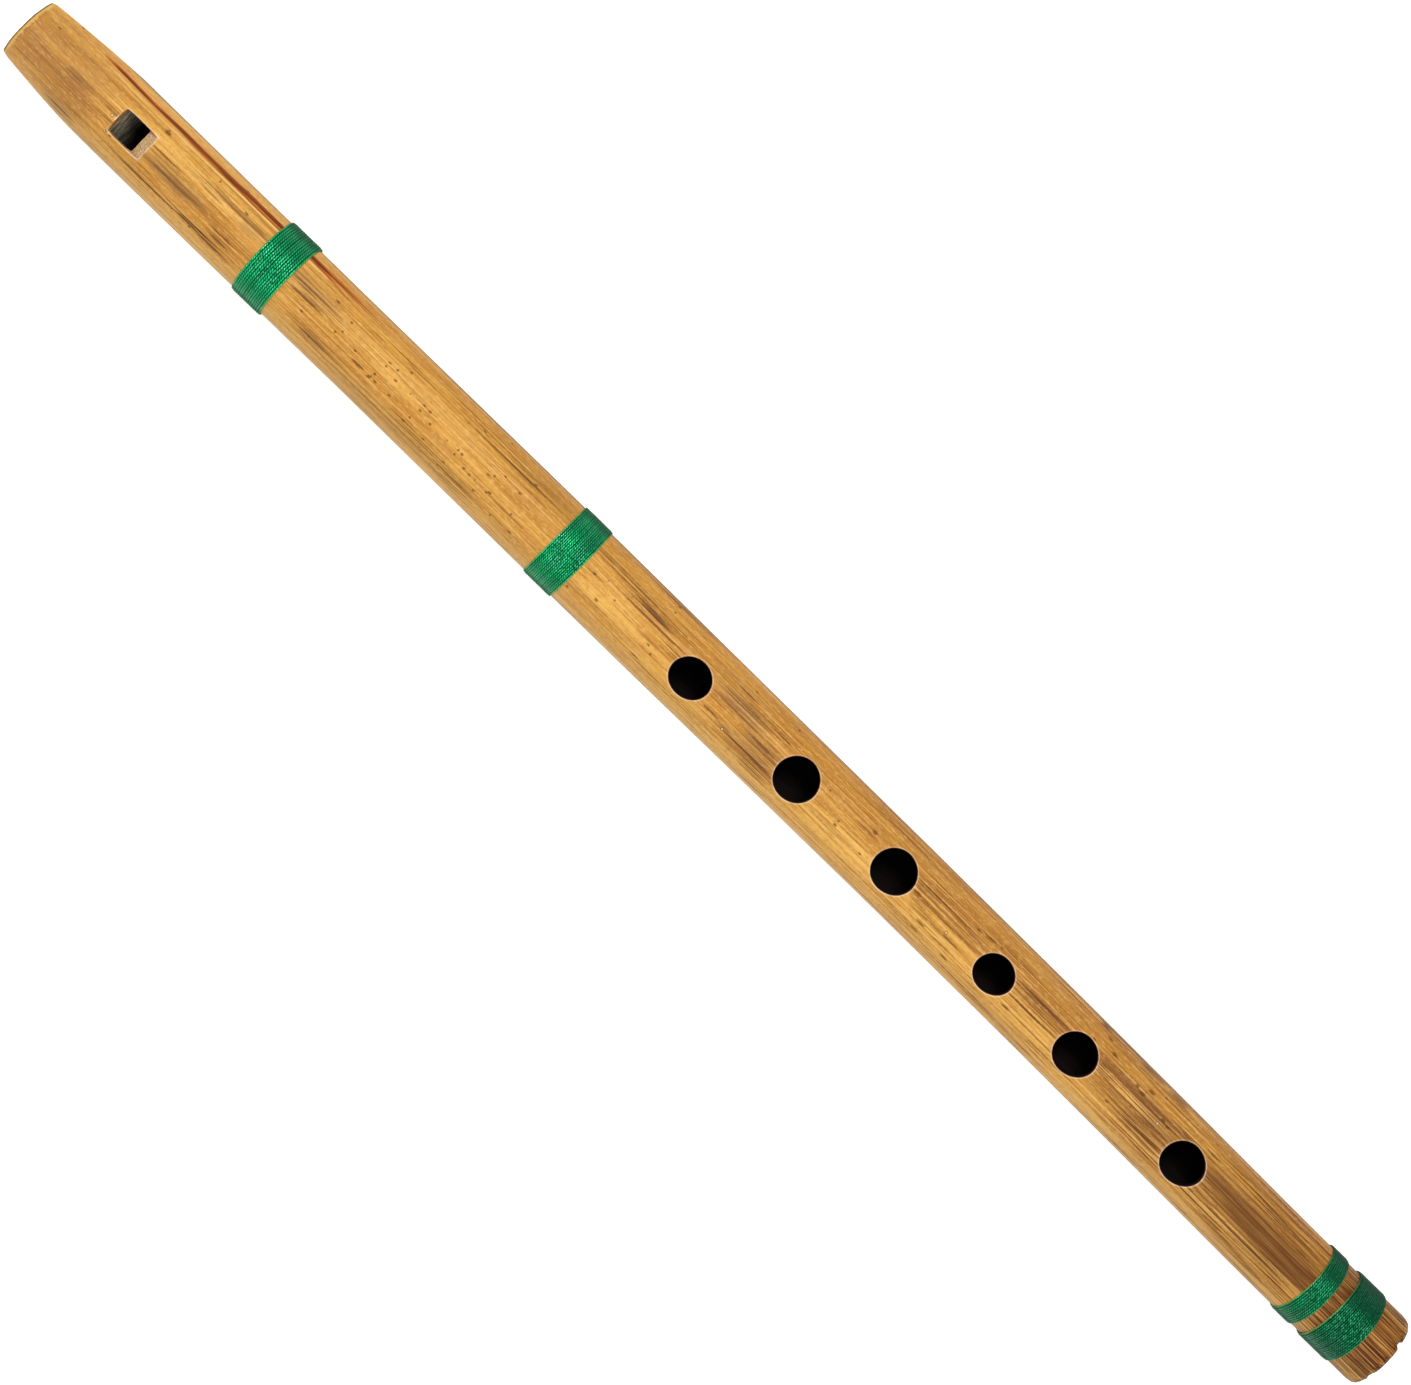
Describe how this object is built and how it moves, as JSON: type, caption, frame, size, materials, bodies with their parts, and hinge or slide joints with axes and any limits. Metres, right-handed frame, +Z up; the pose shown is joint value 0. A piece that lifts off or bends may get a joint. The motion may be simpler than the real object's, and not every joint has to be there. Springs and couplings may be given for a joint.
{
  "type": "bamboo flute",
  "caption": "End-blown bamboo flute with a beaked mouthpiece, a windway block, a window, a row of finger holes and green thread bindings.",
  "frame": {"origin": "below the middle of the flute, on the surface that it lies on", "axes": "+X along the flute from the mouth end to the foot, +Z up, the way the finger holes face"},
  "size_m": [0.35, 0.0174, 0.0173],
  "materials": {
    "bamboo": "dry golden cane with brown streaks, satin",
    "block_wood": "bare brown wood, matt",
    "green_thread": "glossy green thread, wound close"
  },
  "bodies": {
    "root": {"bamboo_tube": "bamboo", "fipple_block": "block_wood", "head_binding": "green_thread", "middle_binding": "green_thread", "narrow_foot_binding": "green_thread", "wide_foot_binding": "green_thread"}
  },
  "joints": []
}
